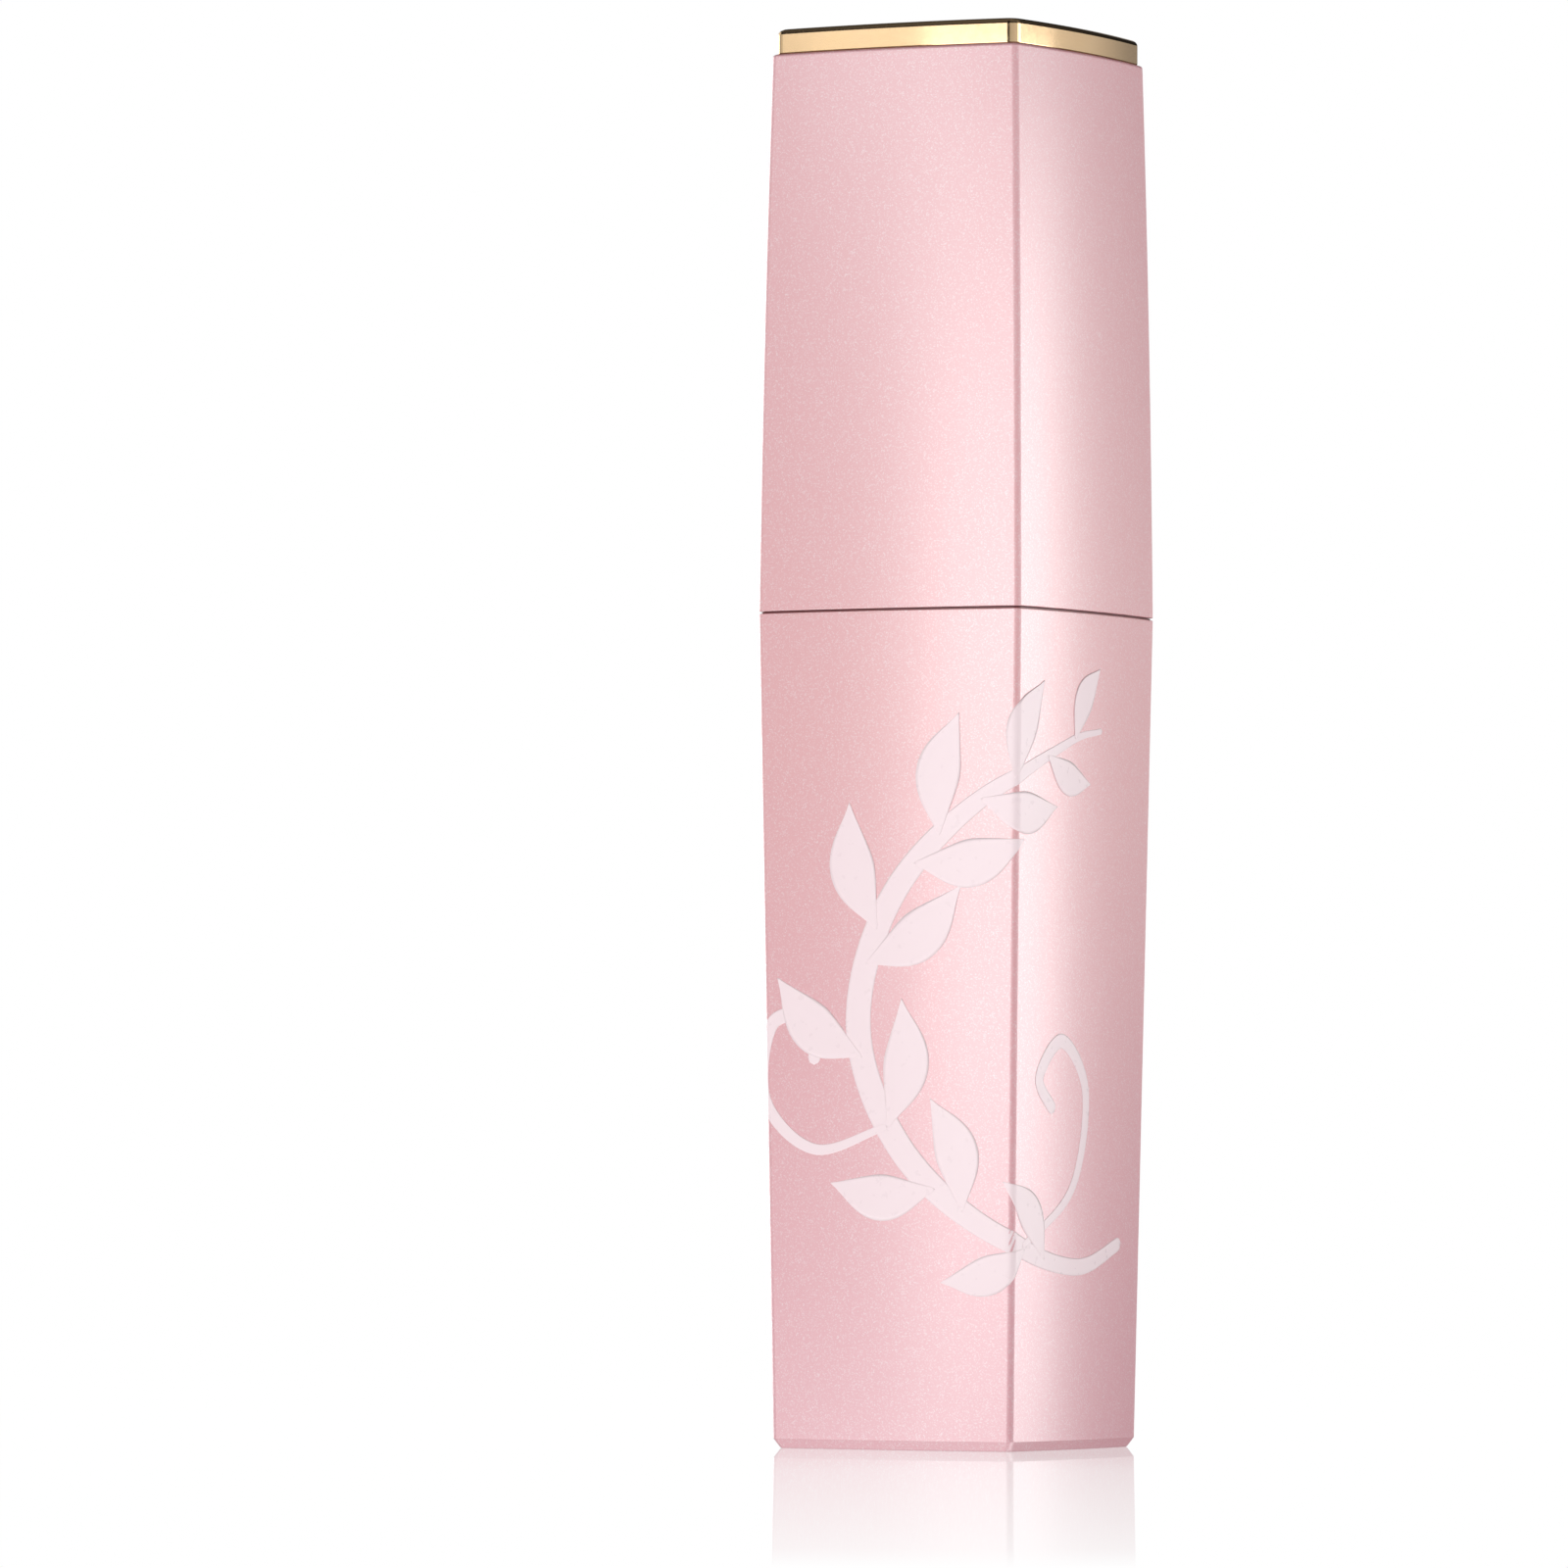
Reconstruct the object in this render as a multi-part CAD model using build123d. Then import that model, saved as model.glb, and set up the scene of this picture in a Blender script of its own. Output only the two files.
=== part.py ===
from build123d import *
import os
from math import atan2, cos, pi, sin, sqrt

# Lip gloss tube: a square bottle with softly bulging sides, and a screw cap that carries the applicator.
# Millimetres, +Z up, origin at the middle of the base. The front face looks along -Y.
# Everything is drawn closed: the cap is screwed down and the applicator stands in the gloss.

# ---- Outside form -------------------------------------------------------------------------------
TOTAL_HEIGHT = 100.0
SEAM_HEIGHT = 58.75       # where cap and bottle meet, the widest place
CAP_SHELL_TOP = 98.2      # the gold plate shows above this
SEAM_GAP = 0.16
BASE_HALF = 9.47          # half of the square, measured to its sharp corner
SEAM_HALF = 10.38
TOP_HALF = 9.76
CAP_BARREL = 0.08         # how far the cap's profile swells outside a straight taper
BULGE = 0.07              # rise of each side's arc over half of the square
CORNER_RADIUS = 0.5
FOOT_HEIGHT = 0.68        # the bevel round the bottle's bottom edge
FOOT_INSET = 0.40
FOOT_TOE = 0.07
RIM_ROUND = 0.06          # rounding of the two rims at the seam
CROWN_ROUND = 0.20        # rounding of the cap shell's top edge
WALL = 1.3
CLEARANCE = 0.03          # between pieces that are pressed or glued together

# ---- Bottle -------------------------------------------------------------------------------------
FLOOR = 1.6
LABEL_RADIUS = 6.8
LABEL_THICKNESS = 0.12
LABEL_RECESS = 0.25
VIAL_BOTTOM = 1.7
VIAL_RADIUS = 7.6
VIAL_BORE = 6.5
VIAL_FLOOR = 1.8
VIAL_SHOULDER = 56.4
SHOULDER_THICKNESS = 1.2
HEEL_ROUND = 0.8
NECK_RADIUS = 5.3
NECK_BORE = 4.3
NECK_TOP = 69.5
GLOSS_LEVEL = 50.0
GLOSS_WELL = 3.45         # radius of the well that the applicator keeps open in the gloss
GLOSS_WELL_FLOOR = 7.8

COLLAR_LIP_HALF = 10.24   # the collar's thin lip lies on the sleeve's rim and shows in the seam
COLLAR_LIP = 0.10
COLLAR_LIP_CLEARANCE = 0.01
COLLAR_BOSS_RADIUS = 8.4
COLLAR_BOSS_TOP = 59.9
COLLAR_BOSS_ROUND = 0.35
COLLAR_SKIRT_RADIUS = 8.1
COLLAR_SKIRT_WALL = 0.45
COLLAR_SKIRT_DEPTH = 5.0

WIPER_FLANGE = 0.6
WIPER_FLANGE_RADIUS = 5.2
WIPER_WALL = 0.62
WIPER_TUBE_BOTTOM = 63.2
WIPER_LIP_BOTTOM = 60.6
WIPER_LIP_WALL = 0.4
WIPER_ORIFICE = 2.45

# ---- Screw thread: one right-hand start, undone in THREAD_TURNS turns ---------------------------
THREAD_PITCH = 2.4
THREAD_TURNS = 1.25
NECK_THREAD_START = 63.4
CAP_THREAD_START = NECK_THREAD_START - THREAD_PITCH / 2
NECK_CREST = 5.75
CAP_THREAD_CREST = 5.85
CAP_BORE = 6.3
THREAD_ROOT_WIDTH = 1.1
THREAD_CREST_WIDTH = 0.5
THREAD_BITE = 0.15        # how far a ridge is sunk into the wall that carries it

# ---- Cap ----------------------------------------------------------------------------------------
WEB_BOTTOM = 94.4         # the web closes the shell under the gold plate
WEB_TOP = 95.6
INNER_CAP_MOUTH = 60.5
INNER_CAP_RADIUS = 7.4
INNER_CAP_FLANGE = 1.2
HOLDER_FLANGE = 1.2
SEAL_THICKNESS = 1.0
SEAL_RADIUS = 6.15
SEAL_HOLE = 2.6
CEILING_THICKNESS = 1.4
SOCKET_RADIUS = 4.4
SOCKET_TOP = 80.0
WAND_HEAD_RADIUS = 3.3
WAND_HEAD_BOTTOM = 77.6
WAND_TOP = 79.2
WEIGHT_CUP_TOP = 84.0
WEIGHT_CUP_WALL = 0.9
WEIGHT_RADIUS = 6.2
WEIGHT_CLEARANCE = 0.06
WEIGHT_BOTTOM = 80.2
WEIGHT_TOP = 91.6
WEIGHT_CHAMFER = 0.5
PLATE_HALF = 9.55
PLATE_CORNER = 0.85
PLATE_EDGE_ROUND = 0.40
PLATE_UNDER_ROUND = 0.10
PLATE_SKIRT_HALF = 7.9
PLATE_SKIRT_WALL = 1.0
PLATE_SKIRT_BOTTOM = 95.8

# ---- Applicator ---------------------------------------------------------------------------------
WAND_RADIUS = 2.4
WAND_BORE = 1.90
CORE_RADIUS = 1.86
WAND_BOTTOM = 31.05
CORE_BOTTOM = 32.45
CARRIER_RADIUS = 2.35
CARRIER_BOTTOM = 21.95
CARRIER_PIN_RADIUS = 1.15
CARRIER_PIN_TOP = 37.0
CARRIER_SPINE_BOTTOM = 12.5
TIP_LENGTH = 13.7
# The doe-foot, from its root down: distance from the root, half width, half depth, and how far
# the section sits behind the wand's axis. Its front is the slanted face.
TIP_SECTIONS = (
    (0.0, 2.60, 2.60, -0.05),
    (1.7, 2.72, 2.80, -0.15),
    (4.0, 2.70, 2.60, -0.15),
    (6.2, 2.68, 2.58, 0.05),
    (8.4, 2.55, 2.50, 0.40),
    (10.0, 2.30, 2.25, 0.75),
    (11.7, 1.85, 1.70, 0.95),
    (12.8, 1.35, 1.15, 1.00),
    (TIP_LENGTH, 0.55, 0.45, 1.00),
)

EDGE_STEPS = 4            # straight steps that stand for a quarter-round
BARREL_STEPS = 8


# ---- Shapes that several pieces share -----------------------------------------------------------
def bottle_half(z):
    """Half of the bottle's outside square at height z."""
    return BASE_HALF + (SEAM_HALF - BASE_HALF) * z / SEAM_HEIGHT


def cap_half(z):
    """Half of the cap's outside square at height z."""
    t = (z - SEAM_HEIGHT) / (CAP_SHELL_TOP - SEAM_HEIGHT)
    return SEAM_HALF + (TOP_HALF - SEAM_HALF) * t + CAP_BARREL * 4 * t * (1 - t)


def cap_hollow_half(z):
    """Half of the square hollow inside the cap shell, which tapers straight."""
    t = (z - SEAM_HEIGHT) / (CAP_SHELL_TOP - SEAM_HEIGHT)
    return SEAM_HALF + (TOP_HALF - SEAM_HALF) * t - WALL


def bottle_hollow_half(z):
    return bottle_half(z) - WALL


def pillow_face(half, z, corner=CORNER_RADIUS):
    """A square with bulging sides and rounded corners, as a face at height z."""
    sag = BULGE * half
    side_radius = (half**2 + sag**2) / (2 * sag)
    side_centre = half + sag - side_radius
    corner_centre = (side_centre + sqrt(2 * (side_radius - corner) ** 2 - side_centre**2)) / 2
    swing = atan2(corner_centre, corner_centre - side_centre)

    def on_side(angle):
        return Vector(side_centre + side_radius * cos(angle), side_radius * sin(angle), z)

    def on_corner(angle):
        return Vector(corner_centre + corner * cos(angle), corner_centre + corner * sin(angle), z)

    side = ThreePointArc(on_side(-swing), on_side(0), on_side(swing))
    turn = ThreePointArc(on_corner(swing), on_corner(pi / 4), on_corner(pi / 2 - swing))
    edges = []
    for quarter in range(4):
        edges += (Rot(0, 0, 90 * quarter) * side).edges()
        edges += (Rot(0, 0, 90 * quarter) * turn).edges()
    return Face(Wire(edges))


def stack(levels, corner=CORNER_RADIUS):
    """A solid through pillow squares at (half, height) levels, straight between them."""
    return loft([pillow_face(half, z, corner) for half, z in levels], ruled=True)


def round_to(half, z, radius, inward):
    """Levels of a quarter-round that starts flat at height z. inward is 1 going up, -1 going down."""
    levels = []
    for step in range(EDGE_STEPS + 1):
        angle = pi / 2 * step / EDGE_STEPS
        levels.append((half - radius * (1 - sin(angle)), z + inward * radius * (1 - cos(angle))))
    return levels


def disc(radius, bottom, top):
    return Pos(0, 0, (bottom + top) / 2) * Cylinder(radius, top - bottom)


def ring(outer, inner, bottom, top):
    return disc(outer, bottom, top) - disc(inner, bottom - 1, top + 1)


def cone(bottom_radius, top_radius, bottom, top):
    return Pos(0, 0, (bottom + top) / 2) * Cone(bottom_radius, top_radius, top - bottom)


def thread_ridge(root_radius, crest_radius, start):
    """One right-hand helical ridge of trapezoid section, from root_radius to crest_radius."""
    path = Helix(THREAD_PITCH, THREAD_PITCH * THREAD_TURNS, root_radius, center=(0, 0, start))
    corners = [
        Vector(root_radius, 0, start - THREAD_ROOT_WIDTH / 2),
        Vector(crest_radius, 0, start - THREAD_CREST_WIDTH / 2),
        Vector(crest_radius, 0, start + THREAD_CREST_WIDTH / 2),
        Vector(root_radius, 0, start + THREAD_ROOT_WIDTH / 2),
    ]
    profile = Face(Wire.make_polygon(corners, close=True))
    return sweep(profile, path=path, is_frenet=True)


# ---- Bottle pieces ------------------------------------------------------------------------------
def bottle_sleeve():
    """Square outer shell, open at the top, with a bevelled foot and a recess for the label."""
    rim = SEAM_HEIGHT - SEAM_GAP / 2
    toe = (BASE_HALF - FOOT_INSET, 0)
    heel = (BASE_HALF - FOOT_INSET + FOOT_TOE, FOOT_TOE)
    foot = [toe, heel, (bottle_half(FOOT_HEIGHT), FOOT_HEIGHT)]
    lip = round_to(bottle_half(rim), rim, RIM_ROUND, -1)
    shell = stack(foot + lip[::-1])
    hollow = stack([(bottle_hollow_half(FLOOR), FLOOR), (bottle_hollow_half(rim), rim)])
    return shell - hollow - disc(LABEL_RADIUS + CLEARANCE, -1, LABEL_RECESS)


def base_label():
    return disc(LABEL_RADIUS, LABEL_RECESS - LABEL_THICKNESS, LABEL_RECESS)


def inner_vial():
    """Clear bottle that holds the gloss, with a threaded neck."""
    body = disc(VIAL_RADIUS, VIAL_BOTTOM, VIAL_SHOULDER)
    body = fillet(body.edges().group_by(Axis.Z)[0], HEEL_ROUND)
    body += disc(NECK_RADIUS, VIAL_SHOULDER - SHOULDER_THICKNESS, NECK_TOP)
    bore = disc(VIAL_BORE, VIAL_BOTTOM + VIAL_FLOOR, VIAL_SHOULDER - SHOULDER_THICKNESS)
    body -= fillet(bore.edges().group_by(Axis.Z)[0], HEEL_ROUND)
    body -= disc(NECK_BORE, VIAL_SHOULDER - 2 * SHOULDER_THICKNESS, NECK_TOP + 1)
    return body + thread_ridge(NECK_RADIUS - THREAD_BITE, NECK_CREST, NECK_THREAD_START)


def shoulder_collar():
    """Closes the sleeve's mouth round the neck. Its round boss centres the cap and lets it turn."""
    bottom = VIAL_SHOULDER + CLEARANCE
    low = bottle_hollow_half(bottom) - CLEARANCE
    seat = SEAM_HEIGHT - SEAM_GAP / 2 + COLLAR_LIP_CLEARANCE
    high = bottle_hollow_half(seat) - CLEARANCE
    boss = disc(COLLAR_BOSS_RADIUS, bottom, COLLAR_BOSS_TOP)
    boss = fillet(boss.edges().group_by(Axis.Z)[-1], COLLAR_BOSS_ROUND)
    skirt_inner = COLLAR_SKIRT_RADIUS - COLLAR_SKIRT_WALL
    skirt = ring(COLLAR_SKIRT_RADIUS, skirt_inner, bottom - COLLAR_SKIRT_DEPTH, bottom + COLLAR_SKIRT_WALL)
    lip = stack([(COLLAR_LIP_HALF, seat), (COLLAR_LIP_HALF, seat + COLLAR_LIP)])
    collar = stack([(low, bottom), (high, seat)]) + lip + boss + skirt
    return collar - disc(NECK_RADIUS + CLEARANCE, 0, TOTAL_HEIGHT)


def wiper():
    """Soft insert in the neck: flange, tube, and a cone that ends in the wiping lip."""
    outer = NECK_BORE - CLEARANCE
    inner = outer - WIPER_WALL
    lip_outer = WIPER_ORIFICE + WIPER_LIP_WALL
    body = disc(WIPER_FLANGE_RADIUS, NECK_TOP, NECK_TOP + WIPER_FLANGE)
    body += disc(outer, WIPER_TUBE_BOTTOM, NECK_TOP)
    body += cone(lip_outer, outer, WIPER_LIP_BOTTOM, WIPER_TUBE_BOTTOM)
    body -= disc(inner, WIPER_TUBE_BOTTOM, NECK_TOP + 1)
    body -= cone(WIPER_ORIFICE, inner, WIPER_LIP_BOTTOM, WIPER_TUBE_BOTTOM)
    return body


def gloss_fill():
    """The gloss, with the well that the wand keeps open in it."""
    bottom = VIAL_BOTTOM + VIAL_FLOOR + CLEARANCE
    fill = disc(VIAL_BORE - CLEARANCE, bottom, GLOSS_LEVEL)
    fill = fillet(fill.edges().group_by(Axis.Z)[0], HEEL_ROUND)
    return fill - disc(GLOSS_WELL, GLOSS_WELL_FLOOR, GLOSS_LEVEL + 1)


# ---- Cap pieces ---------------------------------------------------------------------------------
def cap_shell():
    """Square outer shell, open below, with a web near the top and a nest for the gold plate."""
    rim = SEAM_HEIGHT + SEAM_GAP / 2
    lip = round_to(cap_half(rim), rim, RIM_ROUND, 1)
    low, high = rim + RIM_ROUND, CAP_SHELL_TOP - CROWN_ROUND
    rises = [low + (high - low) * step / BARREL_STEPS for step in range(1, BARREL_STEPS)]
    crown = round_to(TOP_HALF, CAP_SHELL_TOP, CROWN_ROUND, -1)
    shell = stack(lip + [(cap_half(z), z) for z in rises] + crown[::-1])
    mouth = stack([(cap_hollow_half(rim), rim), (cap_hollow_half(WEB_BOTTOM), WEB_BOTTOM)])
    nest_half = PLATE_SKIRT_HALF + CLEARANCE
    return shell - mouth - stack([(nest_half, WEB_TOP), (nest_half, CAP_SHELL_TOP + 1)])


def top_plate():
    """Gold cover with rounded edges, and the skirt that fixes it in the shell's nest."""
    under = round_to(PLATE_HALF, CAP_SHELL_TOP, PLATE_UNDER_ROUND, 1)
    upper = round_to(PLATE_HALF, TOTAL_HEIGHT, PLATE_EDGE_ROUND, -1)
    cover = stack(under + upper[::-1], PLATE_CORNER)
    inside = PLATE_SKIRT_HALF - PLATE_SKIRT_WALL
    skirt = stack([(PLATE_SKIRT_HALF, PLATE_SKIRT_BOTTOM), (PLATE_SKIRT_HALF, CAP_SHELL_TOP + WALL / 2)])
    skirt -= stack([(inside, PLATE_SKIRT_BOTTOM - 1), (inside, CAP_SHELL_TOP)])
    return cover + skirt


def inner_cap():
    """Threaded liner: bore, ceiling, and the flange that fixes it in the shell."""
    ceiling = NECK_TOP + WIPER_FLANGE + SEAL_THICKNESS
    flange_top = INNER_CAP_MOUTH + INNER_CAP_FLANGE
    body = disc(INNER_CAP_RADIUS, INNER_CAP_MOUTH, ceiling + CEILING_THICKNESS)
    body += stack([(cap_hollow_half(z) - CLEARANCE, z) for z in (INNER_CAP_MOUTH, flange_top)])
    body -= disc(CAP_BORE, INNER_CAP_MOUTH - 1, ceiling)
    body -= disc(WAND_RADIUS + CLEARANCE, ceiling - 1, SOCKET_TOP)
    return body + thread_ridge(CAP_BORE + THREAD_BITE, CAP_THREAD_CREST, CAP_THREAD_START)


def wand_holder():
    """Socket for the wand's head, cup for the weight, and the flange that fixes both in the shell."""
    bottom = NECK_TOP + WIPER_FLANGE + SEAL_THICKNESS + CEILING_THICKNESS + CLEARANCE
    cup_bottom = SOCKET_TOP - HOLDER_FLANGE
    cup_bore = WEIGHT_RADIUS + WEIGHT_CLEARANCE
    body = disc(SOCKET_RADIUS, bottom, SOCKET_TOP)
    body += disc(cup_bore + WEIGHT_CUP_WALL, cup_bottom, WEIGHT_CUP_TOP)
    body += stack([(cap_hollow_half(z) - CLEARANCE, z) for z in (cup_bottom, SOCKET_TOP)])
    body -= disc(WAND_RADIUS + CLEARANCE, bottom - 1, SOCKET_TOP + 1)
    body -= disc(WAND_HEAD_RADIUS + CLEARANCE, WAND_HEAD_BOTTOM, SOCKET_TOP + 1)
    return body - disc(cup_bore, SOCKET_TOP, WEIGHT_CUP_TOP + 1)


def seal_washer():
    bottom = NECK_TOP + WIPER_FLANGE
    return ring(SEAL_RADIUS, SEAL_HOLE, bottom, bottom + SEAL_THICKNESS)


def cap_weight():
    slug = disc(WEIGHT_RADIUS, WEIGHT_BOTTOM, WEIGHT_TOP)
    return chamfer(slug.edges().filter_by(GeomType.CIRCLE), WEIGHT_CHAMFER)


# ---- Applicator pieces --------------------------------------------------------------------------
def wand_sleeve():
    """Clear tube with a head that locks it in the holder's socket."""
    head = disc(WAND_HEAD_RADIUS, WAND_HEAD_BOTTOM + CLEARANCE, WAND_TOP)
    return disc(WAND_RADIUS, WAND_BOTTOM, WAND_TOP) + head - disc(WAND_BORE, 0, TOTAL_HEIGHT)


def wand_core():
    """Silver rod inside the clear tube, drilled for the carrier's pin."""
    bore = disc(CARRIER_PIN_RADIUS + CLEARANCE, 0, CARRIER_PIN_TOP + CLEARANCE)
    return disc(CORE_RADIUS, CORE_BOTTOM, WAND_TOP) - bore


def tip_carrier():
    """White moulding: a collar on the wand's line, a pin up into it, and a spine down into the tip."""
    collar = disc(CARRIER_RADIUS, CARRIER_BOTTOM, WAND_BOTTOM)
    return collar + disc(CARRIER_PIN_RADIUS, CARRIER_SPINE_BOTTOM, CARRIER_PIN_TOP)


def flocked_tip():
    """Doe-foot: round where it leaves the carrier, with a slanted front, ending in a soft point."""
    sections = []
    for drop, width, depth, behind in TIP_SECTIONS:
        outline = Ellipse(width, depth).wire()
        sections.append(Pos(0, behind, CARRIER_BOTTOM - drop) * Face(outline))
    socket = disc(CARRIER_PIN_RADIUS + CLEARANCE, CARRIER_SPINE_BOTTOM - CLEARANCE, TOTAL_HEIGHT)
    return loft(sections) - socket


PIECES = (
    bottle_sleeve,
    base_label,
    inner_vial,
    shoulder_collar,
    wiper,
    gloss_fill,
    cap_shell,
    top_plate,
    inner_cap,
    wand_holder,
    seal_washer,
    cap_weight,
    wand_sleeve,
    wand_core,
    tip_carrier,
    flocked_tip,
)

os.makedirs("parts", exist_ok=True)
for piece in PIECES:
    export_step(piece(), f"parts/{piece.__name__}.step")
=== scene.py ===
"""Looks of the lip gloss tube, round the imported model. Metres, +Z up, the front looks along -Y."""
import math
import random

import bmesh
import bpy
from mathutils import Matrix, Vector


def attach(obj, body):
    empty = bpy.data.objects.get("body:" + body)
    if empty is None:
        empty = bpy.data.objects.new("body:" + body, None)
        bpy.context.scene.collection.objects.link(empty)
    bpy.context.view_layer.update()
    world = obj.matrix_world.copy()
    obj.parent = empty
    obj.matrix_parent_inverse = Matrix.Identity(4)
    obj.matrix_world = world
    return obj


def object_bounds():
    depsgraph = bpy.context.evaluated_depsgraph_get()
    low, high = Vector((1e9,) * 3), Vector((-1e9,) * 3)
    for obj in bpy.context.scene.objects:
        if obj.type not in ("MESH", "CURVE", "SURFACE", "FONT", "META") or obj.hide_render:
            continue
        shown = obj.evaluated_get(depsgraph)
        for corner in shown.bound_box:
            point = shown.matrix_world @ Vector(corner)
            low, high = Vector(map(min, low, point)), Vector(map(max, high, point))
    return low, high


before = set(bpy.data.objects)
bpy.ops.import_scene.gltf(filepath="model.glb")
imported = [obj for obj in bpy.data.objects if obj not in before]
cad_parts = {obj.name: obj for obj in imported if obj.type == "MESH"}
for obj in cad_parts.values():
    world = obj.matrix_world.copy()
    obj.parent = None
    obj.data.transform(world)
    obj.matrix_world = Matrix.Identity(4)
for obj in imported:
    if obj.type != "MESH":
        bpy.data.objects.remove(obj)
cad_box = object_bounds()

MM = 0.001
TOP_Z = cad_box[1].z

# ---- Camera -------------------------------------------------------------------------------------
VIEW_AZIMUTH = math.radians(28.8)    # round from the front towards the right face
VIEW_PITCH = math.radians(1.93)
VIEW_ROLL = math.radians(0.20)
VIEW_DISTANCE = 799 * MM
VIEW_HEIGHT = 19.9 * MM
VIEW_ASIDE = 12.2 * MM       # how far the tube stands right of the camera's line
LENS = 259.4
SENSOR_WIDTH = 36


def make_camera():
    forward = Vector((-math.sin(VIEW_AZIMUTH), math.cos(VIEW_AZIMUTH), 0))
    right = Vector((math.cos(VIEW_AZIMUTH), math.sin(VIEW_AZIMUTH), 0))
    data = bpy.data.cameras.new("camera")
    data.lens = LENS
    data.sensor_width = SENSOR_WIDTH
    data.clip_start = 0.01
    data.clip_end = 20
    camera = bpy.data.objects.new("camera", data)
    bpy.context.scene.collection.objects.link(camera)
    place = -forward * VIEW_DISTANCE - right * VIEW_ASIDE
    camera.location = (place.x, place.y, VIEW_HEIGHT)
    camera.rotation_euler = (math.pi / 2 + VIEW_PITCH, 0, VIEW_AZIMUTH)
    camera.rotation_euler.rotate_axis("Z", VIEW_ROLL)
    bpy.context.scene.camera = camera


# ---- Node helpers -------------------------------------------------------------------------------
class Tree:
    """Short ways to add and join shader nodes."""

    def __init__(self, owner):
        owner.use_nodes = True
        self.tree = owner.node_tree
        self.tree.nodes.clear()

    def node(self, kind, inputs=None, **settings):
        made = self.tree.nodes.new(kind)
        for key, value in settings.items():
            setattr(made, key, value)
        for key, value in (inputs or {}).items():
            self.feed(made.inputs[key], value)
        return made

    def feed(self, socket, value):
        if isinstance(value, bpy.types.NodeSocket):
            self.tree.links.new(value, socket)
        else:
            socket.default_value = value

    def math(self, operation, *values, clamp=False):
        made = self.node("ShaderNodeMath", operation=operation, use_clamp=clamp)
        for socket, value in zip(made.inputs, values):
            self.feed(socket, value)
        return made.outputs[0]

    def ramp(self, value, stops, interpolation="LINEAR"):
        """stops are (position, colour or grey)."""
        made = self.node("ShaderNodeValToRGB", {"Fac": value})
        band = made.color_ramp
        band.interpolation = interpolation
        while len(band.elements) < len(stops):
            band.elements.new(1)
        for element, (position, colour) in zip(band.elements, stops):
            element.position = position
            element.color = (*colour, 1) if isinstance(colour, tuple) else (colour,) * 3 + (1,)
        return made.outputs["Color"]

    def mix(self, factor, one, two, blend="MIX"):
        """one and two are colours of three numbers, or sockets."""
        made = self.node("ShaderNodeMix", data_type="RGBA", blend_type=blend)
        self.feed(made.inputs[0], factor)
        for socket, value in ((made.inputs[6], one), (made.inputs[7], two)):
            self.feed(socket, (*value, 1) if isinstance(value, tuple) else value)
        return made.outputs[2]

    def coords(self, stretch=(1, 1, 1)):
        place = self.node("ShaderNodeTexCoord").outputs["Object"]
        if stretch == (1, 1, 1):
            return place
        return self.node("ShaderNodeMapping", {"Vector": place, "Scale": stretch}).outputs[0]

    def noise(self, size, detail=3.0, stretch=(1, 1, 1)):
        """Soft noise whose features are about size metres across."""
        where = {"Vector": self.coords(stretch), "Scale": 1 / size, "Detail": detail}
        return self.node("ShaderNodeTexNoise", where).outputs["Fac"]

    def flakes(self, size):
        """A random grey for each cell of a fine cell pattern."""
        cells = self.node("ShaderNodeTexVoronoi", {"Vector": self.coords(), "Scale": 1 / size})
        return self.node("ShaderNodeSeparateXYZ", {"Vector": cells.outputs["Color"]}).outputs["X"]

    def height(self):
        """Height in the tube, 0 at the table and 1 at the top."""
        up = self.node("ShaderNodeSeparateXYZ", {"Vector": self.coords()}).outputs["Z"]
        return self.math("DIVIDE", up, TOP_Z, clamp=True)

    def bump(self, height, distance, strength=1.0):
        inputs = {"Height": height, "Distance": distance, "Strength": strength}
        return self.node("ShaderNodeBump", inputs).outputs["Normal"]

    def principled(self, inputs):
        shader = self.node("ShaderNodeBsdfPrincipled", inputs)
        self.node("ShaderNodeOutputMaterial", {"Surface": shader.outputs[0]})


def new_material(name):
    made = bpy.data.materials.new(name)
    return made, Tree(made)


# ---- Studio -------------------------------------------------------------------------------------
# Brightness of the room in a band above the horizon, against direction, counted round from -Y
# towards +X, in degrees.
ROOM = (
    (-180, 0.35),
    (-75, 0.45),
    (-46, 0.75),
    (-36, 1.00),
    (-6, 1.00),
    (0, 0.03),
    (7, 0.03),
    (25, 0.45),
    (90, 0.60),
    (102, 2.20),
    (120, 2.20),
    (133, 0.85),
    (150, 0.62),
    (168, 0.26),
    (180, 0.30),
)
ROOM_PEAK = 2.2
# The same against height: sine of the elevation, and share of the band's brightness.
ROOM_RISE = (
    (-1.0, 1.0),
    (-0.6, 1.0),
    (-0.3, 0.15),
    (-0.12, 0.08),
    (0.04, 0.08),
    (0.07, 1.0),
    (0.15, 1.0),
    (0.20, 0.05),
    (0.45, 0.05),
    (0.60, 0.14),
    (1.0, 0.14),
)

# White cards above the tube that only reflections show: their share against direction, and against
# sine of the elevation. They leave open what the plate's top edge mirrors, so it stays a dark line.
CARDS_AROUND = (
    (-180, 0.0),
    (-165, 0.0),
    (-153, 1.0),
    (-88, 1.0),
    (-72, 0.0),
    (15, 0.0),
    (30, 1.0),
    (82, 1.0),
    (96, 0.0),
    (180, 0.0),
)
CARDS_RISE = ((-1.0, 0.0), (0.14, 0.0), (0.20, 1.0), (0.36, 1.0), (0.44, 0.0), (1.0, 0.0))
CARDS_LEVEL = 0.75

# A white strip at the horizon, by sine of the elevation. The table mirrors it.
HORIZON_MIDDLE = 0.035
HORIZON_REACH = 0.03

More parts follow.
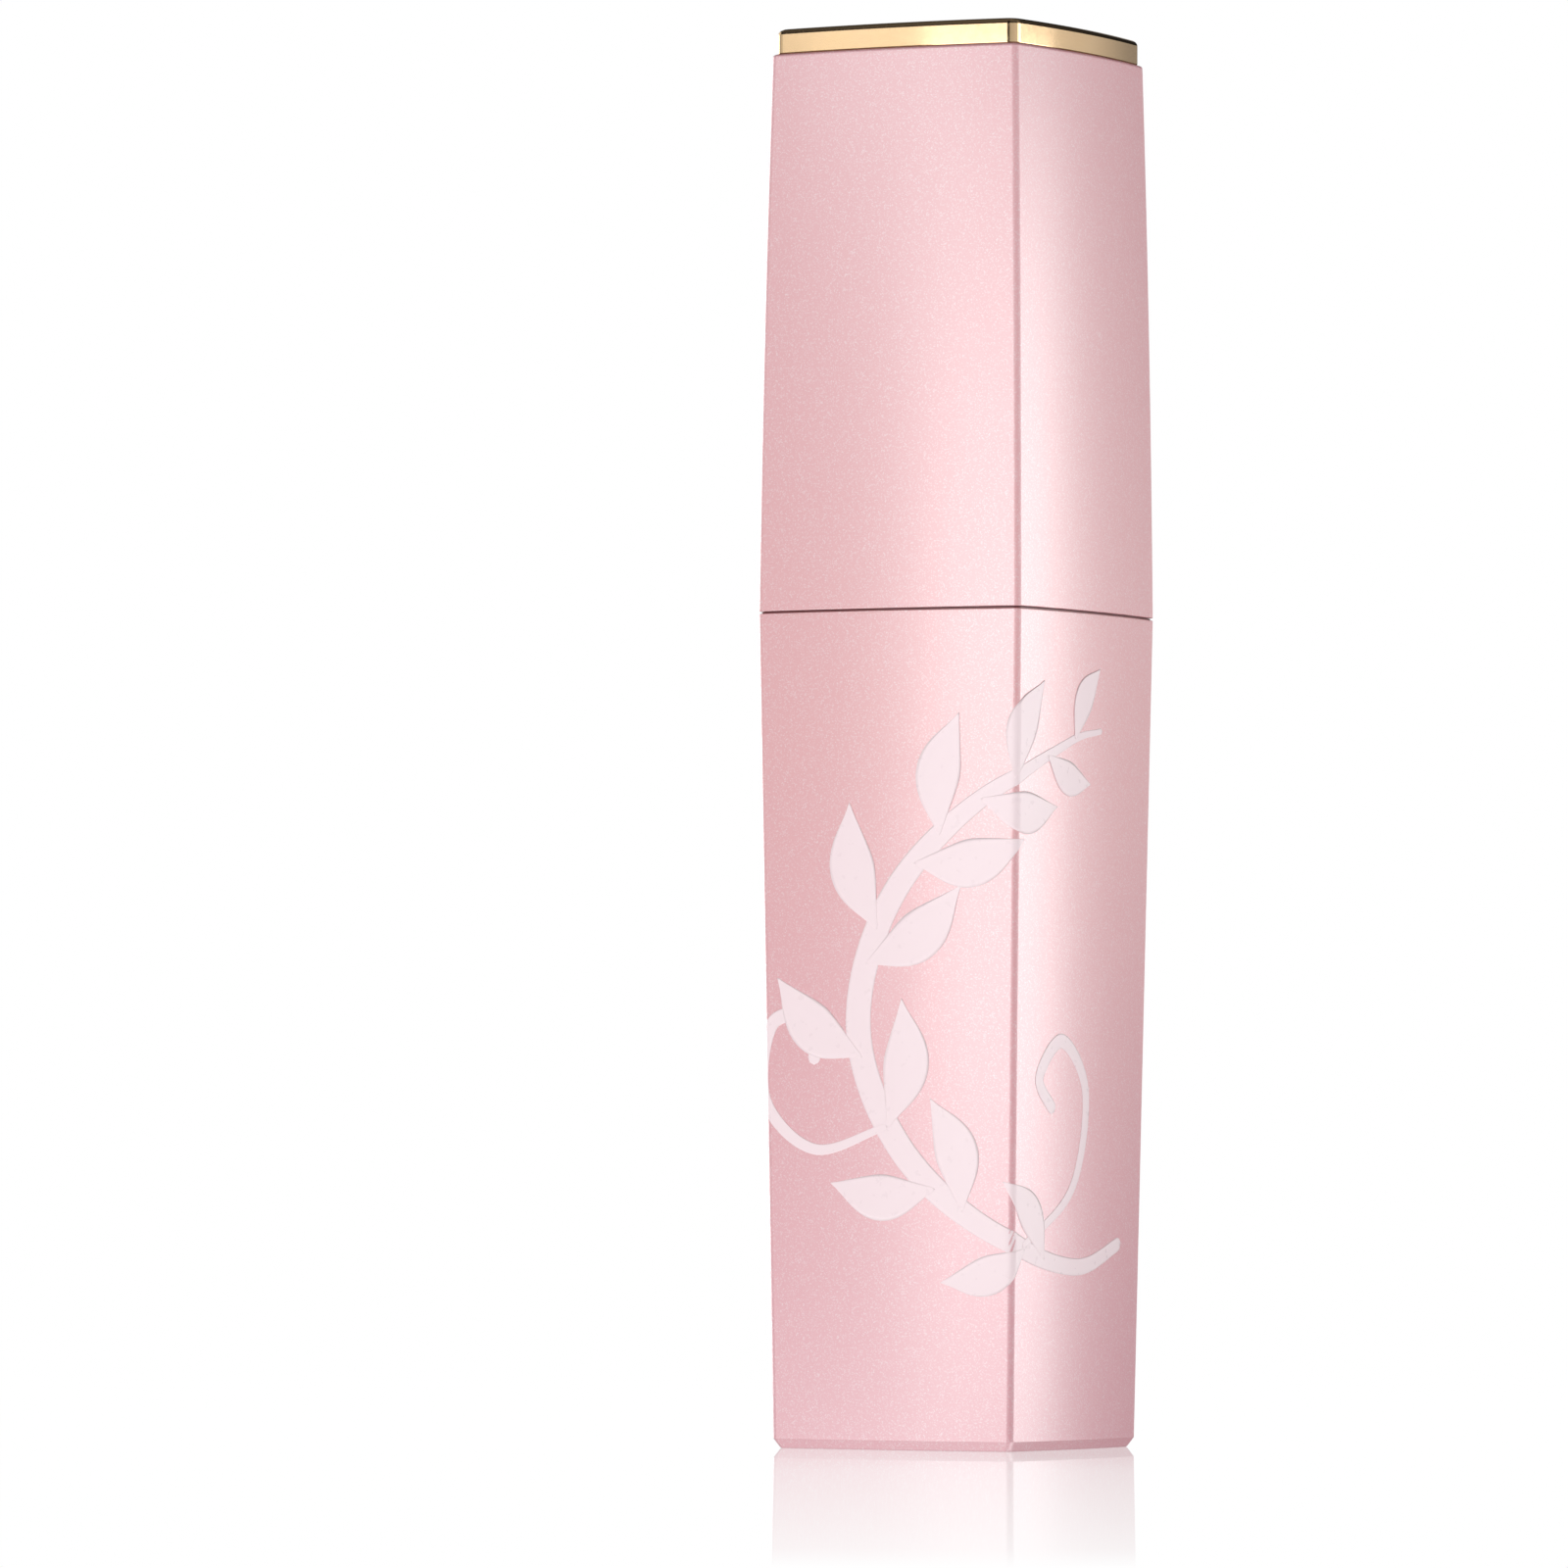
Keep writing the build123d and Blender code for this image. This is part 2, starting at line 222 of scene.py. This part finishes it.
# Softboxes: direction and height of the middle, width and height of the panel in mm, power in watts.
SOFTBOXES = (
    ("front_panel", -11, 54, 120, 142, 0.148),
    ("back_panel", 129, 48, 140, 156, 0.225),
    ("edge_light", 15, 60, 70, 190, 0.26),
    ("side_light", 80, 60, 70, 70, 0.15),
    ("low_fill", -36, -95, 200, 110, 0.27),
    ("high_fill", -30, 175, 150, 70, 0.07),
    ("rear_fill", 245, 70, 160, 160, 0.30),
)
LIGHT_DISTANCE = 300 * MM
BOUNCED = ("edge_light", "side_light")    # bounced off cards, so no reflection shows their panels


def make_room():
    """The studio's walls: white to the camera, and soft bands of light and dark to the tube."""

    def around_and_up(by_direction, by_sine, peak):
        """Brightness against direction, as a share of peak, times the share against height."""
        levels = [((degrees + 180) / 360, grey / peak) for degrees, grey in by_direction]
        shares = [((sine + 1) / 2, share) for sine, share in by_sine]
        return t.mix(1.0, t.ramp(turned, levels, "EASE"), t.ramp(raised, shares), "MULTIPLY")

    world = bpy.data.worlds.new("studio")
    bpy.context.scene.world = world
    t = Tree(world)
    direction = t.node("ShaderNodeTexCoord").outputs["Generated"]
    split = t.node("ShaderNodeSeparateXYZ", {"Vector": direction}).outputs
    around = t.math("ARCTAN2", split["X"], t.math("MULTIPLY", split["Y"], -1.0))
    turned = t.math("MULTIPLY_ADD", around, 1 / (2 * math.pi), 0.5)
    raised = t.math("MULTIPLY_ADD", split["Z"], 0.5, 0.5)
    rays = t.node("ShaderNodeLightPath").outputs
    white = (1 / ROOM_PEAK,) * 3
    lit = around_and_up(ROOM, ROOM_RISE, ROOM_PEAK)
    cards = t.math("MULTIPLY", around_and_up(CARDS_AROUND, CARDS_RISE, 1.0), rays["Is Glossy Ray"])
    lit = t.mix(cards, lit, (CARDS_LEVEL / ROOM_PEAK,) * 3)
    lit = t.mix(t.math("COMPARE", split["Z"], HORIZON_MIDDLE, HORIZON_REACH), lit, white)
    lit = t.mix(rays["Is Camera Ray"], lit, white)
    back = t.node("ShaderNodeBackground", {"Color": lit, "Strength": ROOM_PEAK})
    t.node("ShaderNodeOutputWorld", {"Surface": back.outputs[0]})


def make_softboxes():
    for name, azimuth, height, wide, tall, power in SOFTBOXES:
        data = bpy.data.lights.new(name, "AREA")
        data.shape = "RECTANGLE"
        data.size = wide * MM
        data.size_y = tall * MM
        data.energy = power
        light = bpy.data.objects.new(name, data)
        light.visible_camera = False
        light.visible_glossy = name not in BOUNCED
        bpy.context.scene.collection.objects.link(light)
        turn = math.radians(azimuth)
        light.location = (math.sin(turn) * LIGHT_DISTANCE, -math.cos(turn) * LIGHT_DISTANCE, height * MM)
        aim = Vector((0, 0, TOP_Z / 2)) - light.location
        light.rotation_euler = aim.to_track_quat("-Z", "Y").to_euler()


FLOOR_SIZE = 6               # metres
# How strongly the table mirrors, against distance from the tube over MIRROR_REACH.
MIRROR_REACH = 240 * MM
MIRROR_BY_REACH = ((0.0, 0.60), (0.09, 0.60), (0.26, 0.43), (0.68, 0.28), (0.88, 0.18), (1.0, 0.0))
# Share of that left against how flat the table is seen: 0 from straight above, 1 along it.
MIRROR_BY_SLANT = ((0.0, 0.15), (0.80, 0.15), (0.93, 1.0))


def make_floor():
    """White gloss table. Its mirror image of the tube fades with distance and from above."""
    bpy.ops.mesh.primitive_plane_add(size=FLOOR_SIZE)
    floor = bpy.context.object
    floor.name = "floor"
    made, t = new_material("floor_white")
    across = t.node("ShaderNodeVectorMath", {0: t.coords()}, operation="LENGTH").outputs["Value"]
    reach = t.math("DIVIDE", across, MIRROR_REACH, clamp=True)
    slant = t.node("ShaderNodeLayerWeight", {"Blend": 0.5}).outputs["Facing"]
    mirror = t.mix(1.0, t.ramp(reach, MIRROR_BY_REACH), t.ramp(slant, MIRROR_BY_SLANT), "MULTIPLY")
    white = t.node("ShaderNodeEmission", {"Color": (1, 1, 1, 1), "Strength": 1.0}).outputs[0]
    gloss = t.node("ShaderNodeBsdfGlossy", {"Color": (1, 1, 1, 1), "Roughness": 0.02}).outputs[0]
    shown = t.node("ShaderNodeMixShader", {0: mirror, 1: white, 2: gloss}).outputs[0]
    t.node("ShaderNodeOutputMaterial", {"Surface": shown})
    floor.data.materials.append(made)
    floor.visible_diffuse = False
    floor.visible_glossy = False
    floor.visible_transmission = False
    floor.visible_shadow = False


# ---- Materials ----------------------------------------------------------------------------------
PEARL_BY_HEIGHT = (
    (0.0, (0.82, 0.40, 0.46)),
    (0.5, (0.84, 0.41, 0.43)),
    (1.0, (0.82, 0.41, 0.45)),
)


def pink_pearl():
    """Satin pearl lacquer: pink body, whitish sheen, fine sparkling grain."""
    made, t = new_material("pink_pearl")
    body = t.ramp(t.height(), PEARL_BY_HEIGHT)
    body = t.mix(t.math("MULTIPLY", t.noise(8 * MM, 2), 0.3), body, (0.85, 0.45, 0.48))
    spark = t.ramp(t.flakes(0.075 * MM), ((0.0, 0.0), (0.70, 0.0), (1.0, 0.5)))
    body = t.mix(spark, body, (0.98, 0.84, 0.86))
    t.principled(
        {
            "Base Color": body,
            "Roughness": t.ramp(t.noise(0.5 * MM), ((0.0, 0.27), (1.0, 0.34))),
            "IOR": 2.6,
            "Normal": t.bump(t.noise(0.12 * MM, 2), 0.004 * MM, 0.25),
        }
    )
    return made


def champagne_gold():
    """Polished plating, very slightly uneven."""
    made, t = new_material("champagne_gold")
    t.principled(
        {
            "Base Color": t.mix(t.noise(3 * MM, 2), (0.95, 0.66, 0.37), (0.98, 0.70, 0.42)),
            "Metallic": 1.0,
            "Roughness": t.ramp(t.noise(0.4 * MM, 4), ((0.0, 0.07), (1.0, 0.14))),
            "Normal": t.bump(t.noise(6 * MM, 1), 0.02 * MM, 0.3),
        }
    )
    return made


def pale_film():
    """The print: smooth, pale and a little shiny."""
    made, t = new_material("pale_film")
    t.principled(
        {
            "Base Color": t.mix(t.noise(2 * MM, 3), (0.98, 0.81, 0.84), (0.99, 0.83, 0.86)),
            "Roughness": t.ramp(t.noise(0.6 * MM), ((0.0, 0.26), (1.0, 0.30))),
            "IOR": 1.45,
        }
    )
    return made


def plastic(name, low, high, rough=(0.3, 0.42), **more):
    """Moulded plastic: a little mottled, with a fine satin grain."""
    made, t = new_material(name)
    inputs = {
        "Base Color": t.mix(t.noise(1.5 * MM), low, high),
        "Roughness": t.ramp(t.noise(0.3 * MM), ((0.0, rough[0]), (1.0, rough[1]))),
        "Normal": t.bump(t.noise(0.08 * MM, 2), 0.002 * MM, 0.4),
    }
    for key, value in more.items():
        inputs[key.replace("_", " ")] = value
    t.principled(inputs)
    return made


def clear_plastic():
    made, t = new_material("clear_plastic")
    t.principled(
        {
            "Base Color": t.mix(t.noise(3 * MM, 2), (0.95, 0.95, 0.98), (0.98, 0.98, 1.0)),
            "Roughness": t.ramp(t.noise(0.8 * MM), ((0.0, 0.02), (1.0, 0.05))),
            "IOR": 1.50,
            "Transmission Weight": 0.93,
        }
    )
    return made


def lilac_gloss(name, body_weight):
    """Thick shiny product with fine pearl specks. body_weight is how much light passes into it."""
    made, t = new_material(name)
    specks = t.ramp(t.flakes(0.06 * MM), ((0.0, 0.0), (0.86, 0.0), (1.0, 0.7)))
    body = t.mix(t.noise(1.2 * MM), (0.82, 0.52, 0.72), (0.88, 0.60, 0.78))
    t.principled(
        {
            "Base Color": t.mix(specks, body, (1.0, 0.9, 0.95)),
            "Roughness": t.ramp(t.noise(0.5 * MM), ((0.0, 0.04), (1.0, 0.10))),
            "IOR": 1.46,
            "Transmission Weight": body_weight,
            "Coat Weight": 0.6,
            "Coat Roughness": 0.04,
        }
    )
    return made


def flock_cloth(name, low, high):
    made, t = new_material(name)
    t.principled(
        {
            "Base Color": t.mix(t.noise(0.5 * MM), low, high),
            "Roughness": t.ramp(t.noise(0.1 * MM), ((0.0, 0.6), (1.0, 0.85))),
            "Sheen Weight": 0.5,
            "Sheen Roughness": 0.4,
            "Normal": t.bump(t.noise(0.06 * MM, 2), 0.02 * MM, 0.6),
        }
    )
    return made


ALONG = (1, 1, 0.04)         # marks that run along the tube
AROUND = (1, 1, 6)           # marks that run round it


def turned_metal(name, low, high, rough, stretch):
    """Metal with fine marks. stretch is ALONG or AROUND."""
    made, t = new_material(name)
    marks = t.noise(0.12 * MM, 3, stretch)
    t.principled(
        {
            "Base Color": t.mix(marks, low, high),
            "Metallic": 1.0,
            "Roughness": t.ramp(marks, ((0.0, rough[0]), (1.0, rough[1]))),
            "Normal": t.bump(marks, 0.002 * MM, 0.3),
        }
    )
    return made


def paint(node, made):
    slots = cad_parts[node].data.materials
    slots.clear()
    slots.append(made)


def paint_cad_nodes():
    pearl = pink_pearl()
    clear = clear_plastic()
    liner = plastic("liner_plastic", (0.82, 0.79, 0.78), (0.87, 0.84, 0.83), (0.35, 0.5))
    looks = {
        "bottle_sleeve": pearl,
        "cap_shell": pearl,
        "top_plate": champagne_gold(),
        # Painted shade: the collar is coloured dark brown-red so that the gap between cap and sleeve
        # shows as a dark shadow line.
        "shoulder_collar": plastic("collar_rose", (0.16, 0.04, 0.04), (0.21, 0.06, 0.06)),
        "inner_vial": clear,
        "wand_sleeve": clear,
        "gloss_fill": lilac_gloss("gloss", 0.35),
        "inner_cap": liner,
        "wand_holder": liner,
        "wiper": plastic("soft_rubber", (0.84, 0.82, 0.82), (0.90, 0.88, 0.88), (0.4, 0.55)),
        "seal_washer": plastic("seal_foam", (0.80, 0.80, 0.78), (0.86, 0.86, 0.84), (0.6, 0.8)),
        "cap_weight": turned_metal("steel", (0.52, 0.52, 0.53), (0.64, 0.64, 0.65), (0.25, 0.4), AROUND),
        "wand_core": turned_metal("silver", (0.78, 0.78, 0.79), (0.88, 0.88, 0.89), (0.14, 0.24), ALONG),
        "tip_carrier": plastic("white_plastic", (0.86, 0.80, 0.81), (0.92, 0.87, 0.88), (0.25, 0.35)),
        "flocked_tip": flock_cloth("flock", (0.72, 0.34, 0.44), (0.80, 0.44, 0.54)),
        "base_label": plastic("label", (0.86, 0.70, 0.73), (0.90, 0.76, 0.79), (0.4, 0.5)),
    }
    for node, made in looks.items():
        paint(node, made)


# ---- Print on the bottle ------------------------------------------------------------------------
# The sleeve's outside, as in the CAD model: a square with bulging sides that widens upwards.
SEAM_HEIGHT = 58.75
BASE_HALF = 9.47
SEAM_HALF = 10.38
BULGE = 0.07
CORNER_RADIUS = 0.5

PRINT_LIFT = 0.02            # mm that the print stands proud, plus a hair more for each stroke
PRINT_STEP = 0.002
PRINT_SINK = 0.03
PRINT_PITCH = 0.16
PRINT_LANES = 14
CURVE_STEPS = 60

# A laurel sprig with two curling tendrils. Points are (distance round the bottle from the edge between
# the front and right faces, height), and widths are half the stroke's width at its start, middle and
# end. All in mm.
STEM = (
    (15.5, 14.5),
    (8.0, 12.8),
    (-1.0, 15.0),
    (-8.5, 21.0),
    (-12.0, 29.5),
    (-9.5, 38.5),
    (-2.5, 45.5),
    (6.5, 49.5),
    (11.5, 50.5),
)
STEM_WIDTHS = (0.5, 1.0, 0.2)
LEFT_TENDRIL = ((-9.6, 22.6), (-15.5, 21.0), (-19.8, 24.5), (-19.2, 29.8), (-15.8, 30.0), (-15.6, 26.8))
RIGHT_TENDRIL = ((1.0, 14.2), (7.6, 18.4), (9.4, 25.0), (6.0, 28.6), (3.0, 26.0), (5.0, 23.6))
TENDRIL_WIDTHS = (0.25, 0.5, 0.5)
LEAF_PAIRS = 7
LEAF_LENGTH = 9.2
LEAF_HALF_WIDTH = 1.8
LEAF_ANGLE = math.radians(38)
LEAF_BEND = 0.9
LEAF_SMALLEST = 0.55         # size of the end leaves, as a share of the longest
LEAF_START = 0.3             # how far the first pair is shifted up the stem, in gaps between pairs
LEAF_STAGGER = 0.025         # half the shift between a pair's two leaves, as a share of the stem
LEAF_ENDS = (0.12, 0.05)     # half width at root and tip
SWELL_POWER = 1.3            # how sharply a stroke swells in its middle
THINNEST = 0.01


def leaf_strokes():
    """Pairs of bent leaves up the stem, the longest ones in the middle."""
    line = smooth_line(STEM, PRINT_PITCH)
    strokes = []
    for pair in range(1, LEAF_PAIRS + 1):
        share = (pair + LEAF_START) / (LEAF_PAIRS + 1)
        size = LEAF_SMALLEST + (1 - LEAF_SMALLEST) * math.sin(math.pi * share)
        for side in (-1, 1):
            spot = int(len(line) * (share + LEAF_STAGGER * side))
            root = line[spot]
            along = (line[spot + 3] - line[spot - 3]).normalized()
            turn = Matrix.Rotation(side * LEAF_ANGLE, 2)
            heading = turn @ along
            tip = root + heading * LEAF_LENGTH * size
            bend = Vector((-heading.y, heading.x)) * LEAF_BEND * size * side
            widths = (LEAF_ENDS[0], LEAF_HALF_WIDTH * size, LEAF_ENDS[1])
            strokes.append(((root, (root + tip) / 2 + bend, tip), widths))
    return strokes


def sleeve_point(along, height, lift):
    """A point on the sleeve, along mm round it from the near edge, lift mm proud of it."""
    half = BASE_HALF + (SEAM_HALF - BASE_HALF) * height / SEAM_HEIGHT
    sag = BULGE * half
    radius = (half**2 + sag**2) / (2 * sag)
    middle = half + sag - radius
    corner = (middle + math.sqrt(2 * (radius - CORNER_RADIUS) ** 2 - middle**2)) / 2
    swing = math.atan2(corner, corner - middle)
    side_run = 2 * radius * swing
    turn_run = CORNER_RADIUS * (math.pi / 2 - 2 * swing)
    quarter, rest = divmod(along + turn_run / 2, side_run + turn_run)
    if rest < turn_run:
        angle = swing - math.pi / 2 + rest / CORNER_RADIUS
        centre, reach = (corner, -corner), CORNER_RADIUS
    else:
        angle = (rest - turn_run) / radius - swing
        centre, reach = (middle, 0), radius
    x = centre[0] + (reach + lift) * math.cos(angle)
    y = centre[1] + (reach + lift) * math.sin(angle)
    turn = quarter * math.pi / 2
    across = x * math.cos(turn) - y * math.sin(turn)
    deep = x * math.sin(turn) + y * math.cos(turn)
    return Vector((across, deep, height)) * MM


def smooth_line(points, pitch):
    """Evenly spaced points on a smooth line through the given ones, in any number of dimensions."""
    first = 2 * Vector(points[0]) - Vector(points[1])
    last = 2 * Vector(points[-1]) - Vector(points[-2])
    knots = [first] + [Vector(p) for p in points] + [last]
    dense = []
    for a, b, c, d in zip(knots, knots[1:], knots[2:], knots[3:]):
        pull = 2 * a - 5 * b + 4 * c - d
        curl = 3 * b - a - 3 * c + d
        for step in range(CURVE_STEPS):
            t = step / CURVE_STEPS
            dense.append((2 * b + (c - a) * t + pull * t**2 + curl * t**3) / 2)
    dense.append(knots[-2])
    line, carried = [dense[0]], 0.0
    for here, there in zip(dense, dense[1:]):
        carried += (there - here).length
        if carried >= pitch:
            line.append(there)
            carried = 0.0
    return line


def half_width(share, from_end, widths):
    """Half the stroke's width: a smooth swell from start to end, with rounded ends."""
    start, middle, end = widths
    swell = math.sin(math.pi * share) ** SWELL_POWER
    plain = start + (end - start) * share
    width = plain + (middle - (start + end) / 2) * swell
    if from_end < width:
        width *= math.sqrt(max(0.0, 1 - (1 - from_end / width) ** 2))
    return max(width, THINNEST)


def stroke_into(mesh, points, widths, lift):
    """Adds one closed, very thin stroke that follows the sleeve. Only its outside is shaded smooth."""
    line = smooth_line(points, PRINT_PITCH)
    length = PRINT_PITCH * (len(line) - 1)
    rows = []
    for index, here in enumerate(line):
        ahead = line[min(index + 1, len(line) - 1)] - line[max(index - 1, 0)]
        side = Vector((-ahead.y, ahead.x)).normalized()
        gone = PRINT_PITCH * index
        width = half_width(gone / length, min(gone, length - gone), widths)
        lanes = [here + side * width * (2 * lane / PRINT_LANES - 1) for lane in range(PRINT_LANES + 1)]
        top = [mesh.verts.new(sleeve_point(p.x, p.y, lift)) for p in lanes]
        under = [mesh.verts.new(sleeve_point(p.x, p.y, -PRINT_SINK)) for p in reversed(lanes)]
        rows.append(top + under)
    for one, two in zip(rows, rows[1:]):
        for lane in range(len(one)):
            after = (lane + 1) % len(one)
            face = mesh.faces.new((one[lane], one[after], two[after], two[lane]))
            face.smooth = lane < PRINT_LANES
    mesh.faces.new(rows[0][::-1])
    mesh.faces.new(rows[-1])


def add_piece(name, mesh, made, body):
    """Turns mesh code into a piece that rides on a CAD body."""
    bmesh.ops.recalc_face_normals(mesh, faces=mesh.faces)
    data = bpy.data.meshes.new(name)
    mesh.to_mesh(data)
    mesh.free()
    data.materials.append(made)
    piece = bpy.data.objects.new(name, data)
    bpy.context.scene.collection.objects.link(piece)
    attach(piece, body)
    return piece


def make_print():
    mesh = bmesh.new()
    strokes = [(STEM, STEM_WIDTHS), (LEFT_TENDRIL, TENDRIL_WIDTHS), (RIGHT_TENDRIL, TENDRIL_WIDTHS)]
    strokes += leaf_strokes()
    for number, (points, widths) in enumerate(strokes):
        stroke_into(mesh, points, widths, PRINT_LIFT + PRINT_STEP * number)
    add_piece("sprig_print", mesh, pale_film(), "bottle")


# ---- Applicator tip -----------------------------------------------------------------------------
# As in the CAD model, from the root down: distance from the root, half width, half depth, and how far
# the section sits behind the wand's axis, in mm. Its slanted front faces -Y.
TIP_TOP = 21.95
TIP_SECTIONS = (
    (0.0, 2.60, 2.60, -0.05),
    (1.7, 2.72, 2.80, -0.15),
    (4.0, 2.70, 2.60, -0.15),
    (6.2, 2.68, 2.58, 0.05),
    (8.4, 2.55, 2.50, 0.40),
    (10.0, 2.30, 2.25, 0.75),
    (11.7, 1.85, 1.70, 0.95),
    (12.8, 1.35, 1.15, 1.00),
    (13.7, 0.55, 0.45, 1.00),
)
TIP_PITCH = 0.16
FILM_LANES = 48
FILM_PROUD = 0.07
FILM_SUNK = -0.12
FILM_SIDE = (0.05, 0.40)     # how far round the tip the film's edge rises, as -sine of the angle
FILM_TOP = (1.8, 3.6)        # distance from the root where its upper edge rises
FLOCK_COUNT = 9000
FLOCK_LENGTH = (0.20, 0.36)
FLOCK_HALF_WIDTH = 0.020
FLOCK_ROOT = -0.03
FLOCK_SPREAD = 0.45          # how unevenly the fibres lean
FLOCK_HIDDEN = 0.93          # share of them that the gloss hides
FLOCK_SEED = 11


def eased(value, low, high):
    """0 below low, 1 above high, smooth between."""
    share = min(max((value - low) / (high - low), 0.0), 1.0)
    return share * share * (3 - 2 * share)


def wetness(drop, angle):
    """How far the gloss covers the tip here: all over the slanted front, with a wavy edge."""
    edge = 0.12 * math.sin(2.3 * drop + 1) + 0.08 * math.sin(5.1 * drop)
    return eased(-math.sin(angle) + edge, *FILM_SIDE) * eased(drop + 4 * edge, *FILM_TOP)


def tip_point(row, angle, lift):
    """A point lift mm off the tip, and the way straight out from there."""
    drop, width, depth, behind = row
    out = Vector((math.cos(angle) / width, math.sin(angle) / depth, 0)).normalized()
    place = Vector((width * math.cos(angle), behind + depth * math.sin(angle), TIP_TOP - drop))
    return place + out * lift, out


def make_gloss_film():
    """The wet layer on the tip: proud of it on the slanted front, and sunk in it elsewhere."""
    mesh = bmesh.new()
    rings = []
    for row in smooth_line(TIP_SECTIONS, TIP_PITCH):
        ring = []
        for lane in range(FILM_LANES):
            angle = 2 * math.pi * lane / FILM_LANES
            lift = FILM_SUNK + (FILM_PROUD - FILM_SUNK) * wetness(row[0], angle)
            ring.append(mesh.verts.new(tip_point(row, angle, lift)[0] * MM))
        rings.append(ring)
    for one, two in zip(rings, rings[1:]):
        for lane in range(FILM_LANES):
            after = (lane + 1) % FILM_LANES
            mesh.faces.new((one[lane], two[lane], two[after], one[after]))
    mesh.faces.new(rings[0])
    mesh.faces.new(rings[-1][::-1])
    piece = add_piece("gloss_film", mesh, lilac_gloss("wet_gloss", 0.25), "cap")
    piece.data.shade_smooth()


def make_flock():
    """Short fibres that stand out of the tip, fewer where the gloss lies on it."""
    chance = random.Random(FLOCK_SEED)
    rows = smooth_line(TIP_SECTIONS, TIP_PITCH)
    mesh = bmesh.new()
    for _ in range(FLOCK_COUNT):
        spot = chance.randrange(1, len(rows) - 1)
        angle = chance.uniform(0, 2 * math.pi)
        if chance.random() < FLOCK_HIDDEN * wetness(rows[spot][0], angle):
            continue
        root, out = tip_point(rows[spot], angle, FLOCK_ROOT)
        narrowing = (rows[spot + 1][1] - rows[spot - 1][1]) / (rows[spot + 1][0] - rows[spot - 1][0])
        lean = Vector(chance.uniform(-FLOCK_SPREAD, FLOCK_SPREAD) for _ in range(3))
        heading = out + Vector((0, 0, narrowing)) + lean
        tip = root + heading.normalized() * chance.uniform(*FLOCK_LENGTH)
        side = heading.cross(Vector((0, 0, 1))).normalized() * FLOCK_HALF_WIDTH
        up = heading.cross(side).normalized() * FLOCK_HALF_WIDTH
        foot = [mesh.verts.new((root + step) * MM) for step in (side, up, -side, -up)]
        point = mesh.verts.new(tip * MM)
        mesh.faces.new(foot)
        for one, two in zip(foot, foot[1:] + foot[:1]):
            mesh.faces.new((two, one, point))
    fibre = flock_cloth("fibres", (0.80, 0.42, 0.54), (0.92, 0.62, 0.70))
    add_piece("flock_fibres", mesh, fibre, "cap")


make_camera()
make_room()
make_softboxes()
make_floor()
bpy.context.scene.view_settings.view_transform = "Standard"

paint_cad_nodes()
make_print()
make_gloss_film()
make_flock()
